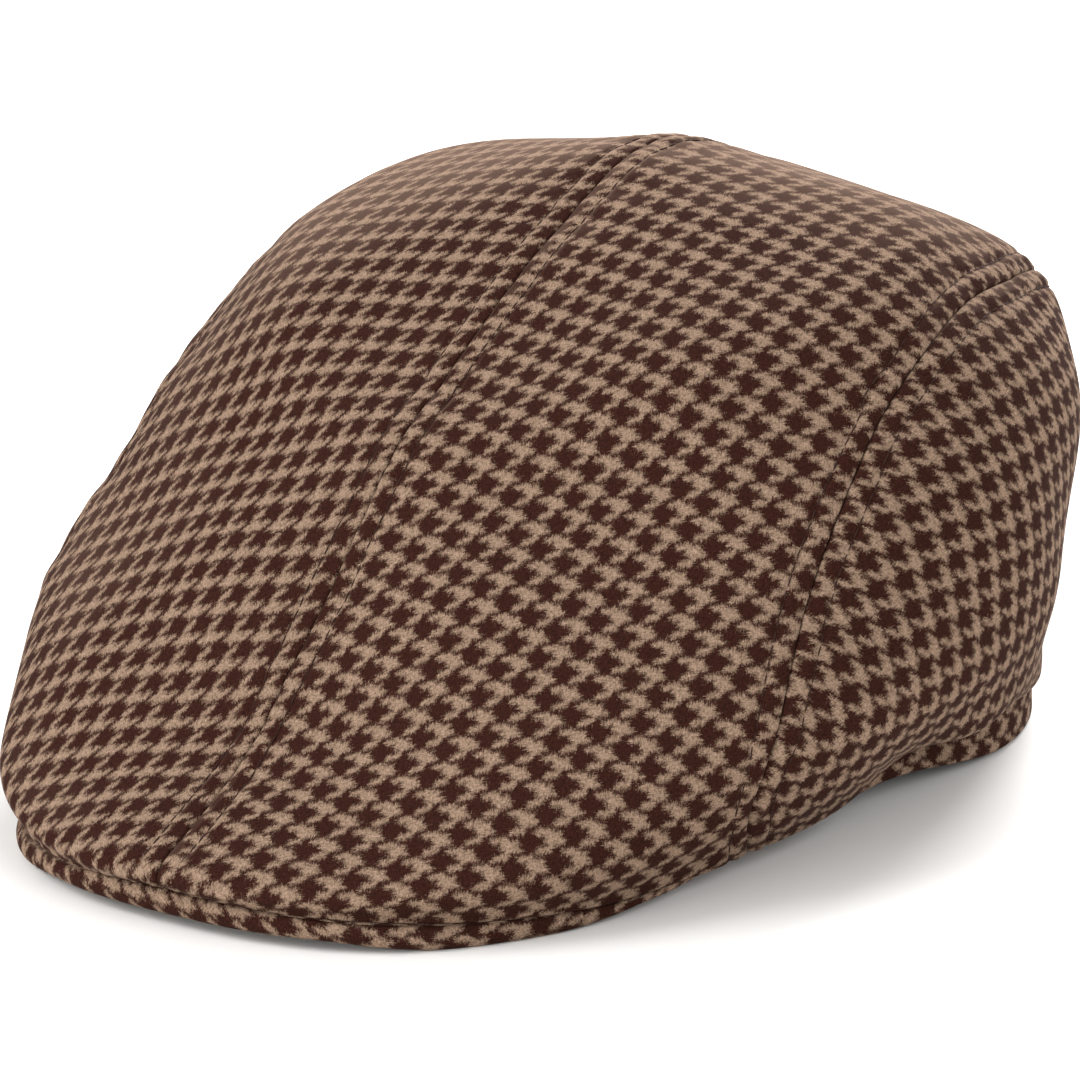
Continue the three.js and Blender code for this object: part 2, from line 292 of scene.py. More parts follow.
class CapSettings(bpy.types.PropertyGroup):
    """Everything that a user would change on the cap."""

    cloth: PointerProperty(type=ClothSettings, name="Cloth", description="Cloth and sewing")
    colours: PointerProperty(type=ColourSettings, name="Colours", description="Colours of the cap")


def reach(outline, angle, inset=0.0):
    """Distance from an outline's own axis to the outline, in the direction of the angle."""
    across, along = np.abs(np.sin(angle)), np.abs(np.cos(angle))
    ahead = np.cos(angle) > 0
    power = np.where(ahead, outline.n_front, outline.n_back)
    length = np.where(ahead, outline.widest - outline.front, outline.back - outline.widest)
    total = (across / (outline.half - inset)) ** power + (along / (length - inset)) ** power
    return total ** (-1 / power)


def polar(outline, angle, distance, z):
    """Points at an angle and a distance from an outline's own axis."""
    x, y = distance * np.sin(angle), outline.widest - distance * np.cos(angle)
    return np.stack(np.broadcast_arrays(x, y, z), axis=-1)


def from_front(angle):
    """Degrees from the front, the same on both sides."""
    return np.degrees(np.abs(np.arctan2(np.sin(angle), np.cos(angle))))


def wave_height(wave, angle):
    off = from_front(angle) - wave.angle
    return wave.rise * np.exp(-((off / np.where(off < 0, wave.ahead, wave.behind)) ** 2))


def smoothstep(value, low, high):
    share = np.clip((value - low) / (high - low), 0, 1)
    return share * share * (3 - 2 * share)


def level_height(index, angle):
    level = CROWN_LEVELS[index]
    end = np.where(np.cos(angle) > 0, level.z_front, level.z_back)
    plain = level.z_side + (end - level.z_side) * np.cos(angle) ** 2
    return plain + sum(wave.keep**index * wave_height(wave, angle) for wave in HEM_WAVES)


def level_at(index, angle):
    level = CROWN_LEVELS[index]
    return polar(level, angle, reach(level, angle), level_height(index, angle))


def through(knots, at):
    """Catmull-Rom curve at places counted in knots; the first and last knots only bend it."""
    first = np.clip(np.floor(at).astype(int), 1, len(knots) - 3)
    share = (at - first)[..., None]
    near = [np.take_along_axis(knots, (first + k)[None, ..., None], 0)[0] for k in (-1, 0, 1, 2)]
    p0, p1, p2, p3 = near
    square = 2 * p0 - 5 * p1 + 4 * p2 - p3
    cube = 3 * (p1 - p2) + p3 - p0
    return p1 + 0.5 * share * (p2 - p0 + share * (square + share * cube))


def resample(rows, at):
    """Rows of values that stand evenly from 0 to 1, read again at other shares."""
    before, after = 2 * rows[:1] - rows[1:2], 2 * rows[-1:] - rows[-2:-1]
    knots = np.concatenate([before, rows, after]).reshape(len(rows) + 2, 1, -1)
    knots = np.broadcast_to(knots, (len(knots), len(at), knots.shape[2]))
    return through(knots, 1 + at * (len(rows) - 1)).reshape(len(at), *rows.shape[1:])


def crown_at(disc):
    """The crown on a unit disc: the rim is the hem, the middle the apex and (0, -1) the front."""
    angle = np.arctan2(disc[..., 0], -disc[..., 1])
    rise = np.clip(1 - np.linalg.norm(disc, axis=-1), 0, 1)
    count = len(CROWN_LEVELS)
    knots = [level_at(index, angle) for index in range(count)]
    before = 2 * knots[0] - knots[1]
    beyond = level_at(count - 1, angle + np.pi)
    apex = np.broadcast_to(APEX, beyond.shape)
    return through(np.stack([before, *knots, apex, beyond]), 1 + rise * count)


def crown_normal(disc):
    step = 0.004
    size = np.linalg.norm(disc, axis=-1, keepdims=True)
    inside = disc * np.minimum(1, (1 - step) / np.maximum(size, step))
    along_x = crown_at(inside + (step, 0)) - crown_at(inside - (step, 0))
    along_y = crown_at(inside + (0, step)) - crown_at(inside - (0, step))
    normal = np.cross(along_x, along_y)
    return normal / np.linalg.norm(normal, axis=-1, keepdims=True)


def disc_point(degrees, rise):
    """Disc point at an angle from the front and a rise from the hem."""
    angle = np.radians(degrees)
    return np.stack([np.sin(angle), -np.cos(angle)], axis=-1) * (1 - np.asarray(rise))[..., None]


def side_seam(share):
    """Disc points of the side seam, from the end of the peak to the middle of the back."""
    knots = np.stack([disc_point(*row) for row in SIDE_SEAM])
    knots = np.concatenate([knots[:1], knots, knots[-1:]])[:, None]
    share = np.asarray(share, float)
    at = 1 + share.ravel() * (len(SIDE_SEAM) - 1)
    return through(np.broadcast_to(knots, (len(knots), at.size, 2)), at).reshape(*share.shape, 2)


CORNER_ANGLE, BACK_RISE = SIDE_SEAM[0][0], SIDE_SEAM[-1][1]
FRONT, BACK = disc_point(0, 0), disc_point(180, BACK_RISE)


def top_panel_disc(along, across):
    """Top panel, from the front hem to the back and from the centre seam to the side seam."""
    along, across = along[..., None], across[..., None]
    hem = disc_point(across[..., 0] * CORNER_ANGLE, 0)
    corner = disc_point(CORNER_ANGLE, 0)
    chord = FRONT + (corner - FRONT) * across
    centre = FRONT + (BACK - FRONT) * along
    side = side_seam(along[..., 0])
    return centre + (side - centre) * across + (1 - along) * (hem - chord)


def side_panel_disc(along, across):
    """Side panel, from the end of the peak to the back and from the side seam to the hem."""
    seam = side_seam(along)
    hem = disc_point(CORNER_ANGLE + (180 - CORNER_ANGLE) * along**HEM_SPACING, 0)
    return seam + (hem - seam) * across[..., None]


# The seams that a panel ends in, as disc points from 0 to 1
SEAM_LINES = {
    "centre": lambda share: FRONT + (BACK - FRONT) * share[..., None],
    "side": side_seam,
    "back": lambda share: BACK + (disc_point(180, 0) - BACK) * share[..., None],
}


class PanelShape(NamedTuple):
    """How a pair of crown panels is cut and how its cloth lies."""

    disc: object  # map from (along, across) to the disc
    seams: tuple  # names of SEAM_LINES
    length: float  # rough size along and across, which spaces the grid lines
    width: float
    check: tuple  # stretch of the checks along the pattern's two axes
    slope: float  # how far the rows of checks run forwards for each millimetre outwards
    turns: tuple  # how the pattern's axes lie on the cloth's threads, for the left and the right panel


TOP_PANEL = PanelShape(
    top_panel_disc, ("centre", "side"), 290, 95,
    check=(0.97, 1.0), slope=0.115, turns=(((1, 0), (0, -1)), ((1, 0), (0, 1))),
)
SIDE_PANEL = PanelShape(
    side_panel_disc, ("side", "back"), 300, 85,
    check=(1.06, 0.93), slope=0.0, turns=(((0, -1), (-1, 0)), ((0, -1), (1, 0))),
)


def grid_lines(size):
    """Shares of a panel's size, close together near both edges and even between them."""
    edge = np.array(EDGE_LINES) + SEAM_GAP / 2
    middle = np.arange(edge[-1] + EVEN_STEP, size - edge[-1] - EVEN_STEP / 2, EVEN_STEP)
    return np.concatenate([edge, middle, size - edge[::-1]]) / size


def nearest_on(points, line):
    """How far each point is from a line of close points, and how far along the line that is."""
    tree = KDTree(len(line))
    for index, point in enumerate(line):
        tree.insert(point, index)
    tree.balance()
    found = [tree.find(point) for point in points]
    return np.array([f[2] for f in found]), travel_along(line, 0)[[f[1] for f in found]]


def bell(distance, at, spread):
    return np.exp(-(((distance - at) / spread) ** 2))


def turned_down(distance, radius):
    """Drop of cloth that turns down over a round edge of that radius."""
    left = np.clip(1 - distance / radius, 0, 1)
    return radius * (1 - np.sqrt(1 - left**2))


def seam_drop(distance, travel, stitch_offset):
    """How far the cloth lies below the plain crown beside a seam."""
    drop = turned_down(distance, SEAM_ROLL)
    drop += SEAM_DIP["depth"] * bell(distance, 0, SEAM_DIP["reach"])
    drop -= SEAM_PAD["height"] * bell(distance, SEAM_PAD["at"], SEAM_PAD["reach"])
    drop += STITCH_DIP["depth"] * bell(distance, stitch_offset, STITCH_DIP["reach"])
    pucker = sum(p["height"] * np.sin(2 * np.pi * travel / p["wave"] + p["phase"]) for p in PUCKERS)
    return drop + pucker * bell(distance, stitch_offset, PUCKER_REACH)


def soft_give(points):
    """Slow unevenness of the crown's cloth."""
    turns = [points @ (1 / np.array(g["wave"])) * 2 * np.pi + g["phase"] for g in GIVE]
    return sum(g["height"] * np.sin(turn) for g, turn in zip(GIVE, turns))


def drawn_up(points, hem_distance):
    """How far the hem's cloth is drawn up, under the slack cloth that hangs over the band."""
    angle = np.arctan2(points[:, 0], HEM.widest - points[:, 1])
    edge = BAND_HEIGHT + wave_height(BAND_WAVE, angle) - HEM_LIFT["below_edge"]
    lift = np.maximum(edge - level_height(0, angle), 0)
    lift *= smoothstep(from_front(angle), HEM_LIFT["none"], HEM_LIFT["full"])
    return lift * np.clip(1 - hem_distance / HEM_LIFT["reach"], 0, 1)


def turned_in(inner, hem_distance, round_hem):
    """The inside of a panel, with its hem allowance turned in against the band."""
    angle = np.arctan2(inner[:, 0], BAND_OUTLINE.widest - inner[:, 1])
    band = polar(BAND_OUTLINE, angle, reach(BAND_OUTLINE, angle) + 2 * SEAM_GAP, inner[:, 2])
    share = 1 - smoothstep(hem_distance, HEM_TURN["height"] / 2, HEM_TURN["height"])
    share = share * smoothstep(round_hem, HEM_TURN["none"], HEM_TURN["full"])
    return inner + (band - inner) * share[:, None]


def flat_pattern(points):
    """A panel's grid laid flat so that its threads keep their lengths as well as they can.

    It starts from the rows' own lengths and settles as a net of springs does.
    """
    rows, columns = points.shape[:2]
    width = np.linalg.norm(np.diff(points, axis=1), axis=2).sum(1)
    step = np.linalg.norm(np.diff(points, axis=0), axis=2).mean(1)
    travel = np.concatenate([[0], np.cumsum(step)])
    share = np.linspace(0, 1, columns)
    along = np.repeat(travel[:, None], columns, 1)
    flat = np.stack([width[:, None] * share, along], axis=2).reshape(-1, 2)
    index = np.arange(rows * columns).reshape(rows, columns)
    pairs = [
        (index[:-1], index[1:]),
        (index[:, :-1], index[:, 1:]),
        (index[:-1, :-1], index[1:, 1:]),
        (index[:-1, 1:], index[1:, :-1]),
    ]
    a = np.concatenate([p[0].ravel() for p in pairs])
    b = np.concatenate([p[1].ravel() for p in pairs])
    spot = points.reshape(-1, 3)
    length = np.linalg.norm(spot[a] - spot[b], axis=1)
    count = rows * columns
    net = np.zeros((count, count))
    for row, column, value in ((a, a, 1), (b, b, 1), (a, b, -1), (b, a, -1)):
        np.add.at(net, (row, column), value)
    settle = np.linalg.pinv(net)
    for _ in range(PATTERN_ROUNDS):
        span = flat[a] - flat[b]
        pull = span * (length / np.maximum(np.linalg.norm(span, axis=1), 1e-6))[:, None]
        force = np.zeros_like(flat)
        np.add.at(force, a, pull)
        np.add.at(force, b, -pull)
        flat = settle @ force
    return flat.reshape(rows, columns, 2)


def turned_to(flat, axis):
    """A flat pattern turned so that V runs along the axis, with U a quarter turn to its right."""
    axis = axis / np.linalg.norm(axis)
    return np.stack([flat @ (axis[1], -axis[0]), flat @ axis], axis=-1)


def wall_faces(rows, columns):
    """Faces of a closed wall between two grids of points, the outer one first."""
    index = np.arange(rows * columns).reshape(rows, columns)
    behind = index + rows * columns

    def quads(a, b, c, d):
        return np.stack([a.ravel(), b.ravel(), c.ravel(), d.ravel()], axis=1)

    faces = [
        quads(index[:-1, :-1], index[:-1, 1:], index[1:, 1:], index[1:, :-1]),
        quads(behind[:-1, :-1], behind[1:, :-1], behind[1:, 1:], behind[:-1, 1:]),
        quads(index[:-1, 0], index[1:, 0], behind[1:, 0], behind[:-1, 0]),
        quads(index[1:, -1], index[:-1, -1], behind[:-1, -1], behind[1:, -1]),
        quads(index[0, 1:], index[0, :-1], behind[0, :-1], behind[0, 1:]),
        quads(index[-1, :-1], index[-1, 1:], behind[-1, 1:], behind[-1, :-1]),
    ]
    return np.concatenate(faces)


def placed(name, data):
    """A new object in the scene."""
    thing = bpy.data.objects.new(name, data)
    bpy.context.scene.collection.objects.link(thing)
    return thing


def cloth_object(name, points, faces, flat, material):
    """A mesh of cloth at the origin, with its flat place as UV map and its faces outwards."""
    mesh = bpy.data.meshes.new(name)
    mesh.from_pydata((points * MM).tolist(), [], faces.tolist())
    corners = np.empty(len(mesh.loops), int)
    mesh.loops.foreach_get("vertex_index", corners)
    layer = mesh.uv_layers.new(name=CLOTH_UV)
    layer.data.foreach_set("uv", flat[corners].ravel())
    work = bmesh.new()
    work.from_mesh(mesh)
    bmesh.ops.remove_doubles(work, verts=work.verts, dist=WELD * MM)
    if work.calc_volume(signed=True) < 0:
        bmesh.ops.reverse_faces(work, faces=work.faces)
    work.to_mesh(mesh)
    work.free()
    mesh.shade_smooth()
    mesh.materials.append(material)
    return placed(name, mesh)


def stand_for(piece, node):
    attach(piece, "root")
    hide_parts(node)


def add_node(tree, kind, inputs=(), **settings):
    """Adds a node, with its settings, its sockets' values and the links that feed it."""
    node = tree.nodes.new(kind)
    for name, value in settings.items():
        setattr(node, name, value)
    for key, value in dict(inputs).items():
        if isinstance(value, bpy.types.NodeSocket):
            tree.links.new(value, node.inputs[key])
        else:
            node.inputs[key].default_value = value
    return node


def math_node(tree, operation, *values):
    return add_node(tree, "ShaderNodeMath", enumerate(values), operation=operation).outputs[0]


def vector_node(tree, operation, *values):
    return add_node(tree, "ShaderNodeVectorMath", enumerate(values), operation=operation).outputs[0]


def mix_node(tree, share, first, second):
    inputs = {0: share, 2: first, 3: second}
    return add_node(tree, "ShaderNodeMix", inputs, data_type="FLOAT").outputs[0]


def mix_colours(tree, share, first, second):
    inputs = {0: share, 6: first, 7: second}
    return add_node(tree, "ShaderNodeMix", inputs, data_type="RGBA").outputs[2]


CHECK_THREADS = 4  # threads of one colour before the other starts
DARK_SHARE = 0.635  # share of the cloth's width that the fuller dark threads take
TWILL_START = 1.25  # which threads of a pair lie on top
# How the nap moves the edges of the checks: grain and spread of noise, then fibres that draw them out
NAP_GRAINS = ((1.8, 1.6), (0.6, 1.3))
NAP_FIBRES = (
    {"degrees": -40, "length": 2.0, "width": 0.3, "spread": 3.6},
    {"degrees": 65, "length": 1.6, "width": 0.3, "spread": 3.0},
)
NAP_LAYERS = ((0, 0.9), (31, 1.2), (57, 1.4))  # shift of each layer's noise, and its spread
# Fibres that shade the yarns, degrees, length and width, and the grain of their mottling
YARN_FIBRES = ((-40, 1.5, 0.27), (65, 1.2, 0.27))
YARN_GRAIN = 0.55
# A yarn's shaded and bright fibres: places in the noise, and each channel against the yarn's colour
SHADE_PLACES = (0.36, 0.64)
LIGHT_SHADES = ((0.53, 0.53, 0.46), (1.45, 1.46, 1.5))
DARK_SHADES = ((0.6, 0.6, 0.6), (1.5, 1.5, 1.5))
# Painted sheen: share of the colour that is mixed towards a pale tint where the cloth is seen edge on,
# over the whole cap and more where it faces up, standing in for light from above and behind
EDGE_ON_PAINTED_SHEEN = {"from": 0.84, "most": 0.2}
TOP_PAINTED_SHEEN = {"from": 0.46, "most": 0.4, "least_up": 0.62, "full_up": 0.92}
PAINTED_SHEEN_GAIN = (1.42, 1.42, 1.48)  # brightness of the painted sheen's pale tint against the light yarn


def houndstooth_twill():
    """Node group: 1 where a dark thread lies on top, from a place counted in threads.

    Warp and weft both change colour every four threads, and each passes over two and under two.
    """
    found = bpy.data.node_groups.get("houndstooth twill")
    if found:
        return found
    tree = bpy.data.node_groups.new("houndstooth twill", "ShaderNodeTree")
    tree.interface.new_socket("Threads", in_out="INPUT", socket_type="NodeSocketVector")
    tree.interface.new_socket("Dark", in_out="OUTPUT", socket_type="NodeSocketFloat")
    reckon = partial(math_node, tree)
    place = add_node(tree, "NodeGroupInput")
    across, along, _ = add_node(tree, "ShaderNodeSeparateXYZ", {0: place.outputs[0]}).outputs

    def first_part(value, period, share):
        return reckon("LESS_THAN", reckon("FRACT", reckon("DIVIDE", value, period)), share)

    warp_dark, weft_dark = (first_part(v, 2 * CHECK_THREADS, DARK_SHARE) for v in (across, along))
    diagonal = reckon("ADD", reckon("FLOOR", across), reckon("FLOOR", along))
    warp_on_top = first_part(reckon("ADD", diagonal, TWILL_START), CHECK_THREADS, 0.5)
    add_node(tree, "NodeGroupOutput", {0: mix_node(tree, warp_on_top, weft_dark, warp_dark)})
    return tree


def new_material(name):
    """A material with an empty node tree."""
    material = bpy.data.materials.new(name)
    material.use_nodes = True
    material.node_tree.nodes.clear()
    return material


# Brushed woollen cloth: matt, with checks whose edges are blurred by short fibres, and a painted sheen:
# its colour is mixed towards a pale tint where the nap is seen edge on, and more where it faces up.
def brushed_houndstooth_wool(settings):
    name = "brushed houndstooth wool"
    found = bpy.data.materials.get(name)
    if found:
        return found
    colours = settings.colours
    thread, nap = settings.cloth.thread / MM, settings.cloth.nap / MM
    material = new_material(name)
    tree = material.node_tree
    kinds = add_node, math_node, vector_node, mix_node
    node, reckon, vector, mix = (partial(kind, tree) for kind in kinds)
    place = node("ShaderNodeUVMap", uv_map=CLOTH_UV).outputs[0]

    def noise(size, detail, at=place):
        inputs = {"Vector": at, "Scale": 1 / size, "Detail": detail, "Roughness": 0.6}
        return node("ShaderNodeTexNoise", inputs, noise_dimensions="2D")

    def pushed(start, size, spread, at):
        """The start moved about by noise of that grain."""
        push = vector("SUBTRACT", noise(size, 2, at).outputs["Color"], (0.5, 0.5, 0.5))
        return vector("MULTIPLY_ADD", push, (spread, spread, 0), start)

    def fibres(degrees, length, width, at=place):
        """Noise drawn out along fibres that lie in one direction."""
        turn = (0, 0, math.radians(degrees))
        inputs = {"Vector": at, "Rotation": turn, "Scale": (length, width, 1)}
        turned = node("ShaderNodeMapping", inputs, vector_type="TEXTURE")
        return noise(1, 1, turned.outputs[0]).outputs["Fac"]

    def combed(start, degrees, length, width, spread, at):
        """The start drawn out along fibres that lie in one direction."""
        turn = math.radians(degrees)
        push = vector("SUBTRACT", fibres(degrees, length, width, at), (0.5, 0.5, 0.5))
        most = (spread * math.cos(turn), spread * math.sin(turn), 0)
        return vector("MULTIPLY_ADD", push, most, start)

    def checks(shift, spread):
        """Dark share of the checks under a layer of nap that spreads so far."""
        at = vector("ADD", place, (shift, 2 * shift, 0))
        moved = place
        for grain, share in NAP_GRAINS:
            moved = pushed(moved, grain, share * spread, at)
        for row in NAP_FIBRES:
            way = row["degrees"], row["length"], row["width"]
            moved = combed(moved, *way, row["spread"] * spread, at)
        threads = vector("DIVIDE", moved, (thread, thread, 1))
        return node("ShaderNodeGroup", {0: threads}, node_tree=houndstooth_twill()).outputs[0]

    lower, middle, upper = (checks(shift, share * nap) for shift, share in NAP_LAYERS)
    dark = mix(1 / 3, mix(0.5, lower, middle), upper)
    crossed = mix(0.5, *(fibres(*row) for row in YARN_FIBRES))
    relief = mix(0.5, noise(YARN_GRAIN, 4).outputs["Fac"], crossed)

    def shaded(colour, shades):
        """A yarn's colour, from its shaded fibres to its bright ones."""
        ramp = node("ShaderNodeValToRGB", {0: relief})
        for stop, at, gains in zip(ramp.color_ramp.elements, SHADE_PLACES, shades):
            stop.position = at
            stop.color = (*(min(1, c * gain) for c, gain in zip(colour, gains)), 1)
        return ramp.outputs[0]

    light = shaded(colours.light_yarn, LIGHT_SHADES)
    deep = shaded(colours.dark_yarn, DARK_SHADES)
    # Painted sheen: the yarn colours are mixed towards a pale tint at grazing view, and more on surfaces
    # that face up, standing in for light from above and behind.
    edge_on = node("ShaderNodeLayerWeight", {"Blend": 0.5}).outputs["Facing"]
    facing = node("ShaderNodeNewGeometry").outputs["Normal"]
    up = node("ShaderNodeSeparateXYZ", {0: facing}).outputs["Z"]

    def rising(value, low, high, most):
        inputs = {"Value": value, "From Min": low, "From Max": high, "To Min": 0, "To Max": most}
        return node("ShaderNodeMapRange", inputs).outputs[0]

    facing_up = rising(up, TOP_PAINTED_SHEEN["least_up"], TOP_PAINTED_SHEEN["full_up"], 1)
    on_top = reckon("MULTIPLY", rising(edge_on, TOP_PAINTED_SHEEN["from"], 1, TOP_PAINTED_SHEEN["most"]), facing_up)
    all_over = rising(edge_on, EDGE_ON_PAINTED_SHEEN["from"], 1, EDGE_ON_PAINTED_SHEEN["most"])
    painted_sheen_share = reckon("MAXIMUM", all_over, on_top)
    painted_sheen_tint = [gain * c for gain, c in zip(PAINTED_SHEEN_GAIN, colours.light_yarn)]
    colour = mix_colours(tree, painted_sheen_share, mix_colours(tree, dark, light, deep), (*painted_sheen_tint, 1))
    bump = node("ShaderNodeBump", {"Strength": 0.6, "Distance": 0.5 * MM, "Height": relief})
    shader = node(
        "ShaderNodeBsdfPrincipled", {
            "Base Color": colour,
            "Normal": bump.outputs[0],
            "Roughness": 0.95,
            "IOR": 1.54,
            "Specular IOR Level": 0.04,
            "Sheen Weight": 0.05,
            "Sheen Roughness": 0.2,
            "Sheen Tint": (*linear("#e2cdbd"), 1),
        }
    )
    node("ShaderNodeOutputMaterial", {"Surface": shader.outputs[0]})
    return material


THREAD_TWIST = 0.25  # grain of the sewing thread's twist
THREAD_SHADES = (0.7, 1.5)  # between its strands and on them


# Spun polyester sewing thread: dark, with a faint shine along the twist.
def spun_sewing_thread(settings):
    name = "spun sewing thread"
    found = bpy.data.materials.get(name)
    if found:
        return found
    material = new_material(name)
    tree = material.node_tree
    node = partial(add_node, tree)
    place = node("ShaderNodeTexCoord").outputs["Object"]
    inputs = {"Vector": place, "Scale": 1 / (THREAD_TWIST * MM), "Detail": 2}
    twist = node("ShaderNodeTexNoise", inputs).outputs["Fac"]
    bump = node("ShaderNodeBump", {"Strength": 0.5, "Distance": 0.1 * MM, "Height": twist})
    ramp = node("ShaderNodeValToRGB", {0: twist})
    for stop, gain in zip(ramp.color_ramp.elements, THREAD_SHADES):
        stop.color = (*(c * gain for c in settings.colours.sewing), 1)
    shader = node(
        "ShaderNodeBsdfPrincipled", {
            "Base Color": ramp.outputs[0],
            "Normal": bump.outputs[0],
            "Roughness": 0.8,
            "IOR": 1.55,
            "Specular IOR Level": 0.15,
        }
    )
    node("ShaderNodeOutputMaterial", {"Surface": shader.outputs[0]})
    return material


class Cut(NamedTuple):
    """Size and area, in metres, of a panel's flat pattern."""

    size: tuple
    area: float

    @classmethod
    def of(cls, flat):
        width, length = np.ptp(flat.reshape(-1, 2), axis=0) * MM
        rim = np.concatenate([flat[0], flat[1:, -1], flat[-1, -2::-1], flat[-2::-1, 0]]) * MM
        x, y = rim.T
        area = abs(np.dot(x, np.roll(y, -1)) - np.dot(y, np.roll(x, -1))) / 2
        return cls((float(width), float(length)), float(area))


def build_panel(shape, names, v_axis, settings):
    """The left panel of a pair, from its shape, and the right one as its mirror image."""
    stitch_offset = settings.cloth.stitch_offset / MM
    along, across = np.meshgrid(grid_lines(shape.length), grid_lines(shape.width), indexing="ij")
    disc = shape.disc(along, across)
    size = disc.shape[:2]
    normal = crown_normal(disc).reshape(-1, 3)
    plain = crown_at(disc).reshape(-1, 3)
    drop = -soft_give(plain)
    shares = np.linspace(0, 1, LINE_POINTS)
    for seam in shape.seams:
        distance, travel = nearest_on(plain, crown_at(SEAM_LINES[seam](shares)))
        drop += seam_drop(distance, travel, stitch_offset)
    hem = crown_at(disc_point(180 * shares, 0))
    hem_distance, hem_travel = nearest_on(plain, hem)
    round_hem = np.interp(hem_travel, travel_along(hem, 0), 180 * shares)
    belly = bell(round_hem, BELLY["angle"], BELLY["spread"])
    belly = belly * bell(hem_distance, BELLY["at"], BELLY["reach"])
    drop -= BELLY["height"] * belly
    outer = plain - normal * (drop + turned_down(hem_distance, HEM_ROLL))[:, None]
    inner = turned_in(plain - normal * (drop + WALL)[:, None], hem_distance, round_hem)
    for face in (outer, inner):
        face[:, 2] += drawn_up(plain, hem_distance)

    steps = [np.linspace(0, 1, n) for n in PATTERN_GRID]
    pattern_points = crown_at(shape.disc(*np.meshgrid(*steps, indexing="ij")))
    flat = flat_pattern(pattern_points)
    flat = turned_to(flat, v_axis(flat, pattern_points))
    cut = Cut.of(flat)
    flat = resample(flat, along[:, 0])
    flat = resample(flat.swapaxes(0, 1), across[0]).swapaxes(0, 1).reshape(-1, 2)
    threads = (flat + np.outer(flat[:, 0], (0, shape.slope))) / shape.check
    points = np.concatenate([outer, inner])
    faces = wall_faces(*size)
    material = brushed_houndstooth_wool(settings)
    for name, side, turn in zip(names, (1, -1), shape.turns):
        uv = np.tile(threads @ np.transpose(turn), (2, 1))
        piece = cloth_object(name + CLOTH_NAME, points * (side, 1, 1), faces, uv, material)
        stand_for(piece, name)


def towards_back(flat, points):
    """V of a top panel: along its centre seam, towards the back."""
    return flat[-1, 0] - flat[0, 0]


def straight_up(flat, points):
    """V of a side panel: up, on the whole."""
    spots = np.concatenate([flat.reshape(-1, 2), np.ones((flat.size // 2, 1))], axis=1)
    return np.linalg.lstsq(spots, points[..., 2].ravel(), rcond=None)[0][:2]


class FLATCAP_OT_top_panels(bpy.types.Operator):
    """Build the two top panels of the crown"""

    bl_idname = "flat_cap.top_panels"
    bl_label = "Top panels"

    def execute(self, context):
        names = ("crown_top_left", "crown_top_right")
        build_panel(TOP_PANEL, names, towards_back, context.scene.flat_cap)
        return {"FINISHED"}


class FLATCAP_OT_side_panels(bpy.types.Operator):
    """Build the two side panels of the crown"""

    bl_idname = "flat_cap.side_panels"
    bl_label = "Side panels"

    def execute(self, context):
        names = ("crown_side_left", "crown_side_right")
        build_panel(SIDE_PANEL, names, straight_up, context.scene.flat_cap)
        return {"FINISHED"}


def sections_object(name, sections, flat, material, closed):
    """A solid swept through rings of section points, each ring ending in its first point again."""
    rings, count = sections.shape[:2]
    index = np.arange(rings * count).reshape(rings, count)
    quads = np.stack([index[:-1, :-1], index[1:, :-1], index[1:, 1:], index[:-1, 1:]], axis=-1)
    faces = quads.reshape(-1, 4).tolist()
    if not closed:
        faces += [index[0, :-1].tolist(), index[-1, -2::-1].tolist()]
    points, flat = sections.reshape(-1, 3), flat.reshape(-1, 2)
    return cloth_object(name, points, np.array(faces, object), flat, material)


def travel_along(points, axis):
    """Distance travelled along an axis of an array of points."""
    steps = np.linalg.norm(np.diff(points, axis=axis), axis=-1)
    start = np.zeros_like(np.take(steps, [0], axis))
    return np.concatenate([start, np.cumsum(steps, axis)], axis)


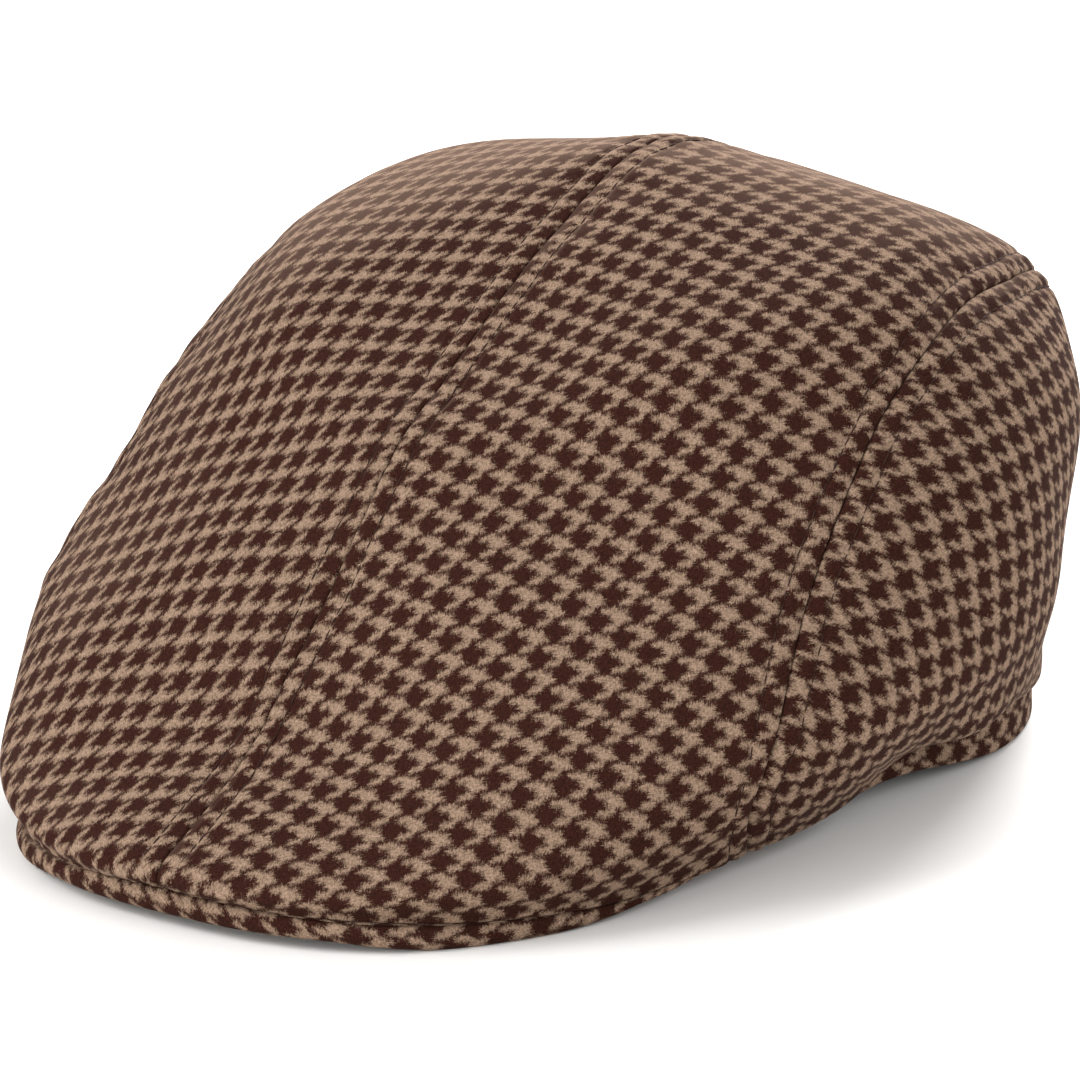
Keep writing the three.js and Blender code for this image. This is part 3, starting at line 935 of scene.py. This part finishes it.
class FLATCAP_OT_peak(bpy.types.Operator):
    """Build the cloth-covered peak with its rolled edge"""

    bl_idname = "flat_cap.peak"
    bl_label = "Peak"

    def execute(self, context):
        settings = context.scene.flat_cap
        angle = np.radians(np.linspace(-PEAK_END, PEAK_END, PEAK_RINGS))
        degrees = from_front(angle)
        tuck = smoothstep(degrees, PEAK_TUCK["none"], PEAK_TUCK["full"])
        room = reach(HEM, angle) - reach(BAND_OUTLINE, angle) - CLEAR
        inset = np.minimum(PEAK_TUCK["inset"] * tuck - PEAK_OUTSET, room - PEAK_LEAST["depth"])
        edge = reach(HEM, angle, inset)
        depth = edge - reach(BAND_OUTLINE, angle) - CLEAR
        top = level_height(0, angle) - PEAK_BELOW_HEM + PEAK_TUCK["rise"] * tuck
        front = 1 - smoothstep(degrees, PEAK_FRONT_LIFT["full"], PEAK_FRONT_LIFT["gone"])
        end = smoothstep(degrees, PEAK_END_LIFT["none"], PEAK_END_LIFT["full"])
        lift = PEAK_FRONT_LIFT["height"] * front + PEAK_END_LIFT["height"] * end
        foot = np.minimum(lift, top - PEAK_LEAST["height"])
        height = top - foot
        roll = np.minimum(PEAK_ROLL_DEPTH, depth * PEAK_ROLL_SHARE)
        arch = height * PEAK_ARCH
        board = np.minimum(PEAK_BOARD, height)
        inward = np.stack([p.roll * roll + p.deep * depth for p in PEAK_SECTION])
        raised = np.stack([p.height * height + p.arch * arch + p.board * board for p in PEAK_SECTION])
        section = np.stack([inward, raised], axis=-1)
        smooth = resample(section, np.linspace(0, 1, PEAK_POINTS))
        smooth[..., 1] = np.maximum(smooth[..., 1], 0) + foot
        smooth = np.concatenate([smooth, smooth[:1]])
        rings = polar(HEM, angle, edge - smooth[..., 0], smooth[..., 1]).swapaxes(0, 1)
        outermost = round(PEAK_OUTERMOST / (len(PEAK_SECTION) - 1) * (PEAK_POINTS - 1))
        out = travel_along(rings, 1)
        out = out - out[:, [outermost]]
        rim = rings[:, outermost, :2]
        tangent = np.gradient(rim, axis=0)
        outward = np.stack([tangent[:, 1], -tangent[:, 0]], axis=1)
        outward /= np.linalg.norm(outward, axis=1, keepdims=True)
        flat = rim[:, None] + outward[:, None] * out[..., None]
        material = brushed_houndstooth_wool(settings)
        piece = sections_object("peak" + CLOTH_NAME, rings, flat * (1, -1), material, closed=False)
        stand_for(piece, "peak")
        return {"FINISHED"}


class FLATCAP_OT_band(bpy.types.Operator):
    """Build the folded band round the head opening"""

    bl_idname = "flat_cap.band"
    bl_label = "Band"

    def execute(self, context):
        settings = context.scene.flat_cap
        turn = np.radians(np.linspace(0, 180, BAND_POINTS["fold"]))
        half = BAND_PLY / 2
        middle = BAND_FOLD + half
        wall = np.linspace(BAND_HEIGHT, middle, BAND_POINTS["wall"])[:-1]

        def folded(radius):
            """Down the outer wall, round the fold and up the inner wall, so far from the fold's axis."""
            bend = middle - radius * np.stack([np.cos(turn), np.sin(turn)], axis=1)
            down = np.stack([np.full_like(wall, middle - radius), wall], axis=1)
            up = np.stack([np.full_like(wall, middle + radius), wall[::-1]], axis=1)
            return np.concatenate([down, bend, up])

        outside = folded(BAND_FOLD + half)
        section = np.concatenate([outside, folded(BAND_FOLD - half)[::-1], outside[:1]])
        angle = np.radians(np.linspace(0, 360, BAND_RINGS))
        distance = reach(BAND_OUTLINE, angle[:, None], section[None, :, 0])
        lift = wave_height(BAND_WAVE, angle)[:, None]
        rings = polar(BAND_OUTLINE, angle[:, None], distance, section[None, :, 1] + lift)
        around = travel_along(rings[:, :1], 0)
        up = -travel_along(rings, 1)
        bias = math.radians(BAND_BIAS)
        turned = ((math.cos(bias), -math.sin(bias)), (math.sin(bias), math.cos(bias)))
        flat = np.stack(np.broadcast_arrays(around, up), axis=-1) @ turned
        material = brushed_houndstooth_wool(settings)
        piece = sections_object("band" + CLOTH_NAME, rings, flat, material, closed=True)
        stand_for(piece, "band")
        ply = float(travel_along(outside, 0)[-1])
        return {"FINISHED"}


STITCH_FILL = 0.86  # share of a stitch's length that shows as thread
STITCH_TURN = 4  # degrees that a stitch lies askew at most
STITCH_RAISED = 0.12  # how far its middle stands above the cloth, in thicknesses of the thread
STITCH_ENDS = (1.5, 3)  # bare lengths at the start and the end of a seam


def stitch_tree():
    """Geometry Nodes: one stitch of thread on every edge of a mesh."""
    tree = bpy.data.node_groups.new("stitch on each edge", "GeometryNodeTree")
    tree.interface.new_socket("Geometry", in_out="INPUT", socket_type="NodeSocketGeometry")
    sockets = {}
    for name, kind in (
        ("Thread", "NodeSocketFloat"), ("Fill", "NodeSocketFloat"), ("Turn", "NodeSocketFloat"),
        ("Seed", "NodeSocketInt"), ("Material", "NodeSocketMaterial"),
    ):
        sockets[name] = tree.interface.new_socket(name, in_out="INPUT", socket_type=kind).identifier
    tree.interface.new_socket("Geometry", in_out="OUTPUT", socket_type="NodeSocketGeometry")
    node = partial(add_node, tree)
    given = node("NodeGroupInput").outputs
    ends = node("GeometryNodeInputMeshEdgeVertices").outputs
    keep = node("GeometryNodeCaptureAttribute", {0: given["Geometry"]}, domain="EDGE")
    keep.capture_items.new("VECTOR", "Span")
    tree.links.new(vector_node(tree, "SUBTRACT", ends["Position 2"], ends["Position 1"]), keep.inputs[1])
    points = node("GeometryNodeMeshToPoints", {"Mesh": keep.outputs[0]}, mode="EDGES")
    along = keep.outputs[1]
    length = node("ShaderNodeVectorMath", {0: along}, operation="LENGTH").outputs["Value"]
    shown = math_node(tree, "MULTIPLY", length, given["Fill"])
    size = node("ShaderNodeCombineXYZ", {0: given["Thread"], 1: shown, 2: given["Thread"]})
    most = node("ShaderNodeCombineXYZ", {2: given["Turn"]}).outputs[0]
    least = vector_node(tree, "MULTIPLY", most, (-1, -1, -1))
    limits = {"Min": least, "Max": most, "Seed": given["Seed"]}
    turn = node("FunctionNodeRandomValue", limits, data_type="FLOAT_VECTOR")
    aligned = node("FunctionNodeAlignRotationToVector", {"Vector": along}, axis="Y")
    turns = {"Rotation": aligned.outputs[0], "Rotate By": turn.outputs[0]}
    turned = node("FunctionNodeRotateRotation", turns, rotation_space="LOCAL")
    bead = node("GeometryNodeMeshUVSphere", {"Segments": 8, "Rings": 7, "Radius": 0.5})
    stitches = node(
        "GeometryNodeInstanceOnPoints", {
            "Points": points.outputs[0], "Instance": bead.outputs[0],
            "Rotation": turned.outputs[0], "Scale": size.outputs[0],
        }
    )
    real = node("GeometryNodeRealizeInstances", {0: stitches.outputs[0]})
    smooth = node("GeometryNodeSetShadeSmooth", {0: real.outputs[0]})
    finish = node("GeometryNodeSetMaterial", {0: smooth.outputs[0], "Material": given["Material"]})
    node("NodeGroupOutput", {0: finish.outputs[0]})
    return tree, sockets


def sewn(name, runs, thread, settings):
    """A piece with a stitch on every span of the runs of points."""
    points = np.concatenate(runs)
    starts = np.cumsum([0] + [len(run) for run in runs[:-1]])
    edges = [(s + k, s + k + 1) for s, run in zip(starts, runs) for k in range(len(run) - 1)]
    mesh = bpy.data.meshes.new(name + " holes")
    mesh.from_pydata(points.tolist(), edges, [])
    holes = placed(name + " holes", mesh)
    tree, sockets = stitch_tree()
    modifier = holes.modifiers.new("stitches", "NODES")
    modifier.node_group = tree
    values = {
        "Thread": thread, "Fill": STITCH_FILL, "Turn": math.radians(STITCH_TURN),
        "Seed": settings.cloth.seed, "Material": spun_sewing_thread(settings),
    }
    for key, value in values.items():
        modifier[sockets[key]] = value
    graph = bpy.context.evaluated_depsgraph_get()
    piece = placed(name, bpy.data.meshes.new_from_object(holes.evaluated_get(graph)))
    piece.data.name = name
    bpy.data.objects.remove(holes)
    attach(piece, "root")


def panel_tree(name):
    """Search tree of a built panel's faces."""
    panel = bpy.data.objects.get(name + CLOTH_NAME)
    if panel is None:
        raise RuntimeError(f"{name} is sewn before it is built")
    mesh = panel.data
    return BVHTree.FromPolygons([v.co for v in mesh.vertices], [p.vertices for p in mesh.polygons])


# Runs of topstitching: seam, side of it (1 towards the wearer's left or down), panel, mirrored
TOPSTITCH_RUNS = tuple(
    {"seam": seam, "side": side, "panel": panel + hand, "hand": sign}
    for seam, side, panel in (
        ("centre", 1, "crown_top_"), ("side", -1, "crown_top_"),
        ("side", 1, "crown_side_"), ("back", 1, "crown_side_"),
    )
    for hand, sign in (("left", 1), ("right", -1))
)


class FLATCAP_OT_topstitching(bpy.types.Operator):
    """Sew a row of topstitching on each side of every seam"""

    bl_idname = "flat_cap.topstitching"
    bl_label = "Topstitching"

    def execute(self, context):
        settings = context.scene.flat_cap
        cloth = settings.cloth
        runs = []
        for row in TOPSTITCH_RUNS:
            disc = SEAM_LINES[row["seam"]](np.linspace(0, 1, LINE_POINTS))
            line = crown_at(disc)
            travel = travel_along(line, 0)
            count = int(travel[-1] / (cloth.stitch_length / MM))
            holes = np.linspace(STITCH_ENDS[0], travel[-1] - STITCH_ENDS[1], count)
            pick = np.searchsorted(travel, holes)
            tangent = np.gradient(line, axis=0)[pick]
            away = np.cross(tangent, crown_normal(disc[pick]))
            away *= row["side"] / np.linalg.norm(away, axis=1, keepdims=True)
            spots = (line[pick] + away * cloth.stitch_offset / MM) * (row["hand"], 1, 1) * MM
            tree = panel_tree(row["panel"])
            found = [tree.find_nearest(Vector(spot)) for spot in spots]
            raised = STITCH_RAISED * cloth.stitch_thread
            runs.append(np.array([place + face * raised for place, face, *_ in found]))
        sewn("topstitching", runs, cloth.stitch_thread, settings)
        return {"FINISHED"}


# Place and size of the bar tack, and how far its bars stand above the cloth, in threads
BAR_TACK = {"ahead": 2, "above_hem": 3.6, "height": 2.8, "width": 1.9, "bars": 5, "raised": 0.45}


class FLATCAP_OT_bar_tack(bpy.types.Operator):
    """Sew the bar tack that holds the crown to the peak at the front of the centre seam"""

    bl_idname = "flat_cap.bar_tack"
    bl_label = "Bar tack"

    def execute(self, context):
        settings = context.scene.flat_cap
        trees = [panel_tree("crown_top_left"), panel_tree("crown_top_right")]
        foot = crown_at(disc_point(0, 0)[None])[0]
        runs = []
        for x in np.linspace(-0.5, 0.5, BAR_TACK["bars"]) * BAR_TACK["width"]:
            ends = []
            for z in (0, 1):
                rise = BAR_TACK["above_hem"] + (z - 0.5) * BAR_TACK["height"]
                spot = foot + (x, -BAR_TACK["ahead"], rise)
                place, face, *_ = trees[x < 0].find_nearest(Vector(spot * MM))
                ends.append(place + face * BAR_TACK["raised"] * settings.cloth.stitch_thread)
            runs.append(np.array(ends))
        sewn("bar_tack", runs, settings.cloth.stitch_thread, settings)
        return {"FINISHED"}


class FLATCAP_OT_stage(bpy.types.Operator):
    """Set the pale floor, the soft light and the camera"""

    bl_idname = "flat_cap.stage"
    bl_label = "Stage"

    def execute(self, context):
        settings = context.scene.flat_cap
        scene = context.scene
        work = bmesh.new()
        bmesh.ops.create_grid(work, x_segments=2, y_segments=2, size=FLOOR_SIZE)
        mesh = bpy.data.meshes.new("floor")
        work.to_mesh(mesh)
        work.free()
        floor = placed("floor", mesh)
        material = bpy.data.materials.new("matt studio paper")
        material.use_nodes = True
        shader = material.node_tree.nodes["Principled BSDF"]
        shader.inputs["Base Color"].default_value = (*settings.colours.floor, 1)
        shader.inputs["Roughness"].default_value = 0.9
        mesh.materials.append(material)

        world = bpy.data.worlds.new("soft studio light")
        world.use_nodes = True
        sky = world.node_tree.nodes["Background"].inputs
        sky["Color"].default_value = (1, 1, 1, 1)
        sky["Strength"].default_value = ROOM_LIGHT
        scene.world = world
        aim = Vector(CAMERA_AIM) * MM
        for row in SOFT_BOXES:
            light = bpy.data.lights.new(row["name"], "AREA")
            light.shape = "DISK"
            light.size = row["size"]
            light.energy = row["power"]
            box = placed(row["name"], light)
            box.location = row["place"]
            box.rotation_mode = "QUATERNION"
            box.rotation_quaternion = (aim - box.location).to_track_quat("-Z", "Y")

        azimuth, elevation = (math.radians(CAMERA[key]) for key in ("azimuth", "elevation"))
        level = math.cos(elevation)
        back = Vector((math.sin(azimuth) * level, -math.cos(azimuth) * level, math.sin(elevation)))
        camera = placed("camera", bpy.data.cameras.new("camera"))
        camera.data.lens = CAMERA["lens"]
        camera.data.clip_end = 20
        place = (Vector(CAMERA_PIVOT) + back * CAMERA["distance"]) * MM
        look = (aim - place).to_track_quat("-Z", "Y").to_matrix().to_4x4()
        roll = Matrix.Rotation(math.radians(CAMERA["roll"]), 4, "Z")
        camera.matrix_world = Matrix.Translation(place) @ look @ roll
        scene.camera = camera
        scene.view_settings.view_transform = "Standard"
        return {"FINISHED"}


OPERATORS = (
    FLATCAP_OT_top_panels,
    FLATCAP_OT_side_panels,
    FLATCAP_OT_band,
    FLATCAP_OT_peak,
    FLATCAP_OT_topstitching,
    FLATCAP_OT_bar_tack,
    FLATCAP_OT_stage,
)


class FLATCAP_PT_panel(bpy.types.Panel):
    """The cap's sizes, colours and pieces"""

    bl_idname = "FLATCAP_PT_panel"
    bl_label = "Flat cap"
    bl_space_type = "VIEW_3D"
    bl_region_type = "UI"
    bl_category = "Flat cap"

    def draw(self, context):
        settings = context.scene.flat_cap
        for group in (settings.cloth, settings.colours):
            for key in group.__annotations__:
                self.layout.prop(group, key)
        for operator in OPERATORS:
            self.layout.operator(operator.bl_idname)


CLASSES = (ClothSettings, ColourSettings, CapSettings, *OPERATORS, FLATCAP_PT_panel)


def register():
    for item in CLASSES:
        bpy.utils.register_class(item)
    bpy.types.Scene.flat_cap = PointerProperty(type=CapSettings)


def unregister():
    del bpy.types.Scene.flat_cap
    for item in reversed(CLASSES):
        bpy.utils.unregister_class(item)


def main():
    register()
    # Blender's own startup objects, where there are any
    for old in list(bpy.context.scene.objects):
        if old.type in {"CAMERA", "LIGHT"} or old.name == "Cube":
            bpy.data.objects.remove(old)
    for operator in OPERATORS:
        group, name = operator.bl_idname.split(".")
        getattr(getattr(bpy.ops, group), name)()


if __name__ == "__main__":
    main()
